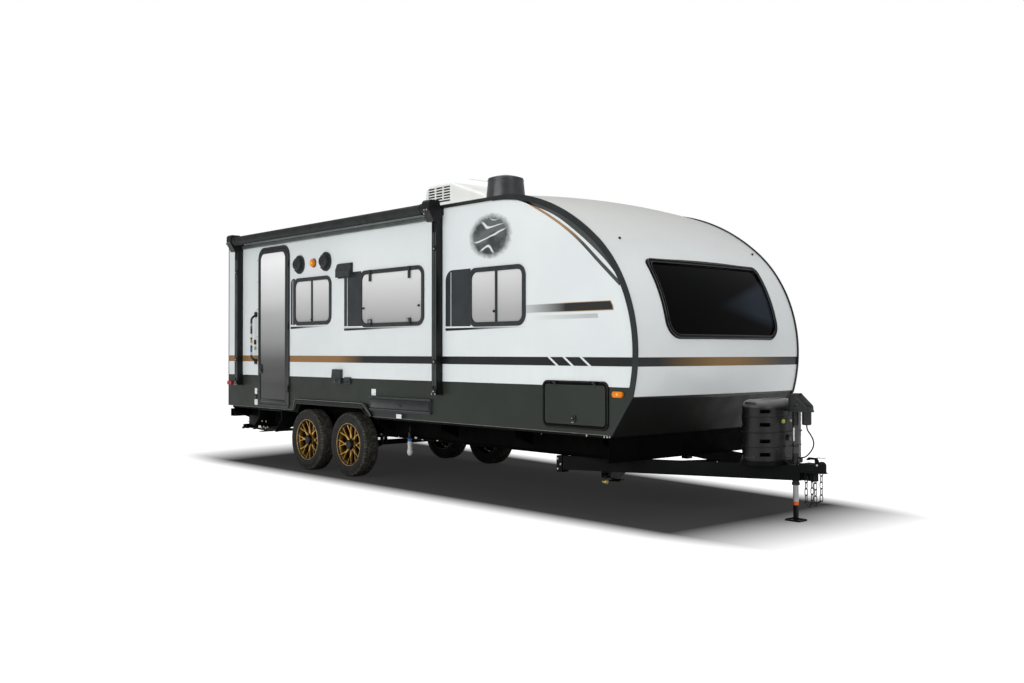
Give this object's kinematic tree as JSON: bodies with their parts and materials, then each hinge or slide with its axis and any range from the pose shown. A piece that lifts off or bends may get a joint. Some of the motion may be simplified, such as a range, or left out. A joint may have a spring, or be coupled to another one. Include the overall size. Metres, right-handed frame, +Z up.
{
  "type": "travel caravan",
  "caption": "Towed travel caravan with tandem wheels, curved front with wrapped window, awning, side door, hatches, roof units and a tongue with jack and ball coupler.",
  "frame": {"origin": "on the ground on the centre plane, under the foot of the tongue jack", "axes": "+X forward to the coupler, +Y to the road side, +Z up"},
  "size_m": [8.634, 2.613, 3.4349],
  "materials": {
    "shell_white": "smooth gel coat",
    "skirt_black": "gloss black panel",
    "frame_black": "satin black paint",
    "trim_black": "black moulded trim",
    "tyre": "worn rubber",
    "rim_bronze": "satin bronze",
    "glass_dark": "dark tinted glass",
    "glass_mirror": "reflective tinted glass",
    "lamp_amber": "clear coloured lens",
    "steel": "zinc plated",
    "roof_white": "roof membrane"
  },
  "bodies": {
    "caravan": {"air_conditioner": "shell_white", "awning_arms": "trim_black", "awning_roller": "trim_black", "axles": "frame_black", "coupler": "frame_black", "cross_members": "frame_black", "curb_wall": "shell_white", "door_frame": "trim_black", "edge_mouldings": "trim_black", "fender_trims": "trim_black", "floor": "frame_black", "front_cap": "shell_white", "front_skirt": "skirt_black", "front_window_frame": "trim_black", "front_window_pane": "glass_dark", "gas_cover": "trim_black", "gas_tray": "frame_black", "grab_handle": "trim_black", "hatch_frames": "trim_black", "jack_housing": "frame_black", "jack_lead": "trim_black", "lamps": "lamp_amber", "main_beams": "frame_black", "rear_bumper": "frame_black", "rear_wall": "shell_white", "road_wall": "shell_white", "roof_antenna": "trim_black", "roof_shell": "roof_white", "roof_vent": "roof_white", "safety_chains": "steel", "side_fittings": "trim_black", "spare_wheel": "tyre", "springs": "frame_black", "stabilisers": "frame_black", "step_bracket": "frame_black", "tongue_rails": "frame_black", "wheel_wells": "trim_black", "window_frames": "trim_black", "window_panes": "glass_mirror"},
    "wheel_front_curb": {"tyre_front_curb": "tyre", "rim_front_curb": "rim_bronze"},
    "wheel_rear_curb": {"tyre_rear_curb": "tyre", "rim_rear_curb": "rim_bronze"},
    "wheel_front_road": {"tyre_front_road": "tyre", "rim_front_road": "rim_bronze"},
    "wheel_rear_road": {"tyre_rear_road": "tyre", "rim_rear_road": "rim_bronze"},
    "door": {"door_leaf": "trim_black", "door_pane": "glass_mirror"},
    "curb_hatch_lid": {"curb_hatch": "skirt_black"},
    "road_hatch_lid": {"road_hatch": "skirt_black"},
    "jack_foot": {"jack_leg": "steel"},
    "step": {"entry_step": "frame_black"},
    "roof_vent_lid": {"vent_lid": "roof_white"}
  },
  "joints": [
    {"name": "wheel_front_curb_spin", "type": "hinge", "parent": "caravan", "child": "wheel_front_curb", "pos_m": [-5.3, -1.055, 0.376], "axis": [0, 1, 0], "continuous": true},
    {"name": "wheel_rear_curb_spin", "type": "hinge", "parent": "caravan", "child": "wheel_rear_curb", "pos_m": [-6.23, -1.055, 0.376], "axis": [0, 1, 0], "continuous": true},
    {"name": "wheel_front_road_spin", "type": "hinge", "parent": "caravan", "child": "wheel_front_road", "pos_m": [-5.3, 1.055, 0.376], "axis": [0, 1, 0], "continuous": true},
    {"name": "wheel_rear_road_spin", "type": "hinge", "parent": "caravan", "child": "wheel_rear_road", "pos_m": [-6.23, 1.055, 0.376], "axis": [0, 1, 0], "continuous": true},
    {"name": "door_swing", "type": "hinge", "parent": "caravan", "child": "door", "pos_m": [-6.583, -1.2183, 1.8], "axis": [0, 0, 1], "range_deg": [0, 150]},
    {"name": "curb_hatch_swing", "type": "hinge", "parent": "caravan", "child": "curb_hatch_lid", "pos_m": [-1.5055, -1.2143, 1.187], "axis": [-1, 0, 0], "range_deg": [0, 100]},
    {"name": "road_hatch_swing", "type": "hinge", "parent": "caravan", "child": "road_hatch_lid", "pos_m": [-1.5055, 1.2143, 1.187], "axis": [1, 0, 0], "range_deg": [0, 100]},
    {"name": "jack_lift", "type": "slide", "parent": "caravan", "child": "jack_foot", "axis": [0, 0, 1], "range_m": [0, 0.25]},
    {"name": "step_fold", "type": "hinge", "parent": "caravan", "child": "step", "pos_m": [-7.15, -1.217, 0.455], "axis": [-1, 0, 0], "range_deg": [0, 180]},
    {"name": "roof_vent_swing", "type": "hinge", "parent": "caravan", "child": "roof_vent_lid", "pos_m": [-6.522, 0, 3.13], "axis": [0, -1, 0], "range_deg": [0, 60]}
  ]
}
